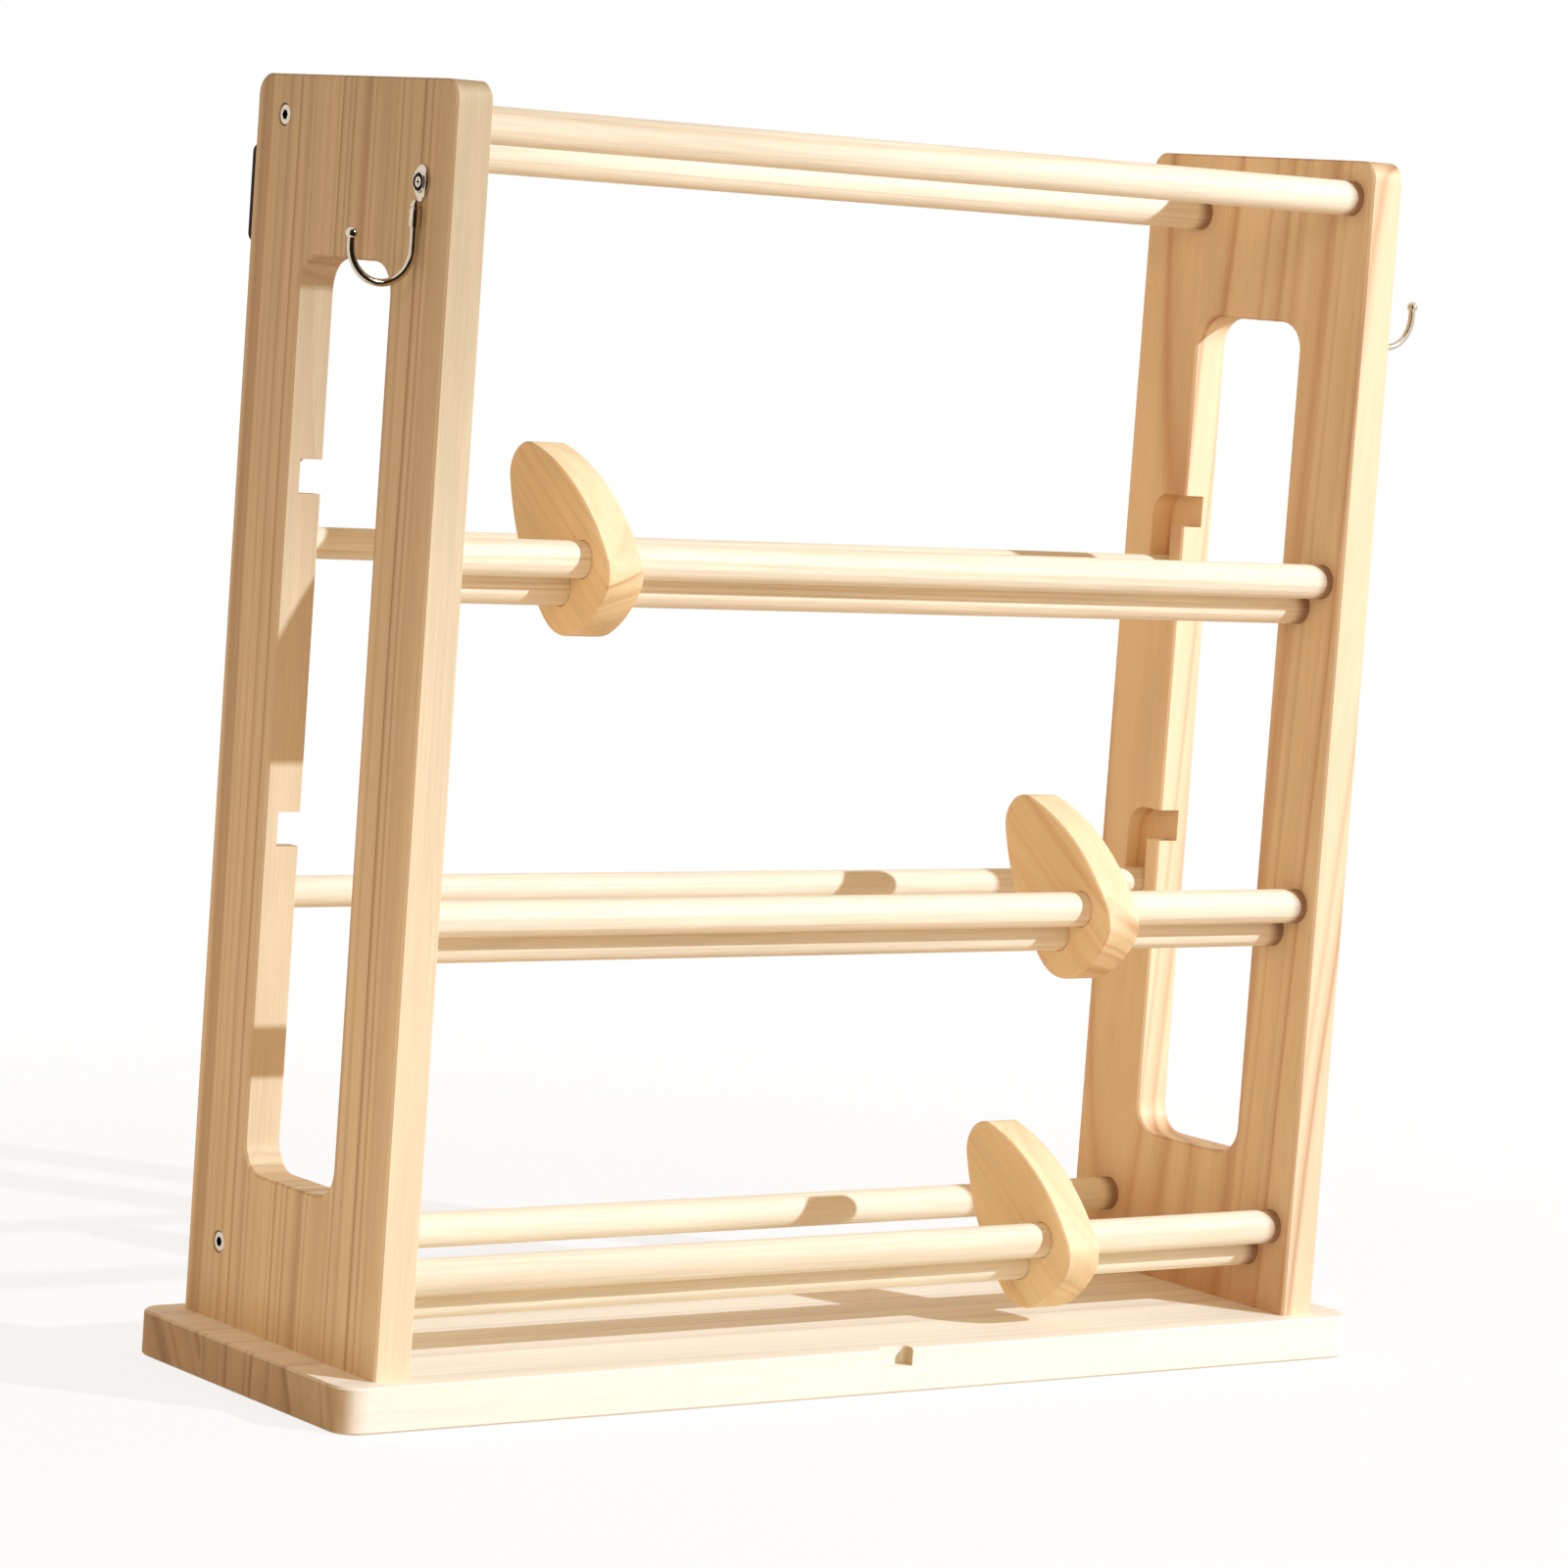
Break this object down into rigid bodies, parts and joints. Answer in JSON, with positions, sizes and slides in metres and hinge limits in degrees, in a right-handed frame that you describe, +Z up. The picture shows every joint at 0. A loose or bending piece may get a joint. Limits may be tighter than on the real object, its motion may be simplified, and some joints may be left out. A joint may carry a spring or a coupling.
{
  "type": "ribbon spool dispenser",
  "caption": "Wooden ribbon spool rack: panels with windows, dowel levels, lift-out spindles, sliding dividers and side hooks.",
  "frame": {"origin": "middle of the base board's underside, on the surface that the rack stands on", "axes": "+X along the rods, to the right seen from the front; +Y from the front to the rear; +Z up"},
  "size_m": [0.5902, 0.179, 0.563],
  "materials": {
    "pine_base": "smooth bare pine",
    "pine_panel": "smooth bare pine",
    "pine_rod": "smooth bare pine dowel",
    "pine_spindle": "smooth bare pine dowel",
    "pine_divider": "smooth bare pine",
    "nickel": "bright nickel plate",
    "zinc_screw": "nickel-plated steel",
    "plain_screw": "zinc-plated steel",
    "black_steel": "black-brown lacquered steel"
  },
  "bodies": {
    "rack": {"base_board": "pine_base", "left_side_panel": "pine_panel", "right_side_panel": "pine_panel", "top_front_rod": "pine_rod", "top_rear_rod": "pine_rod", "top_tie_rod": "pine_rod", "upper_front_rod": "pine_rod", "upper_under_rod": "pine_rod", "middle_front_rod": "pine_rod", "middle_under_rod": "pine_rod", "lower_front_rod": "pine_rod", "lower_under_rod": "pine_rod", "lower_rear_rod": "pine_rod", "left_hook": "nickel", "right_hook": "nickel", "left_hook_screw": "nickel", "right_hook_screw": "nickel", "hanger": "black_steel", "hanger_screws": "plain_screw", "left_tie_screws": "zinc_screw", "right_tie_screws": "zinc_screw", "left_base_screws": "zinc_screw", "right_base_screws": "zinc_screw"},
    "upper_divider": {"upper_divider": "pine_divider"},
    "middle_divider": {"middle_divider": "pine_divider"},
    "lower_divider": {"lower_divider": "pine_divider"},
    "upper_spindle": {"upper_spindle": "pine_spindle"},
    "middle_spindle": {"middle_spindle": "pine_spindle"}
  },
  "joints": [
    {"name": "upper_divider_slide", "type": "slide", "parent": "rack", "child": "upper_divider", "axis": [1, 0, 0], "range_m": [-0.067, 0.398]},
    {"name": "middle_divider_slide", "type": "slide", "parent": "rack", "child": "middle_divider", "axis": [1, 0, 0], "range_m": [-0.3535, 0.1115]},
    {"name": "lower_divider_slide", "type": "slide", "parent": "rack", "child": "lower_divider", "axis": [1, 0, 0], "range_m": [-0.345, 0.12]},
    {"name": "upper_spindle_lift", "type": "slide", "parent": "rack", "child": "upper_spindle", "axis": [0, 0, 1], "range_m": [0, 0.0265]},
    {"name": "middle_spindle_lift", "type": "slide", "parent": "rack", "child": "middle_spindle", "axis": [0, 0, 1], "range_m": [0, 0.0265]}
  ]
}
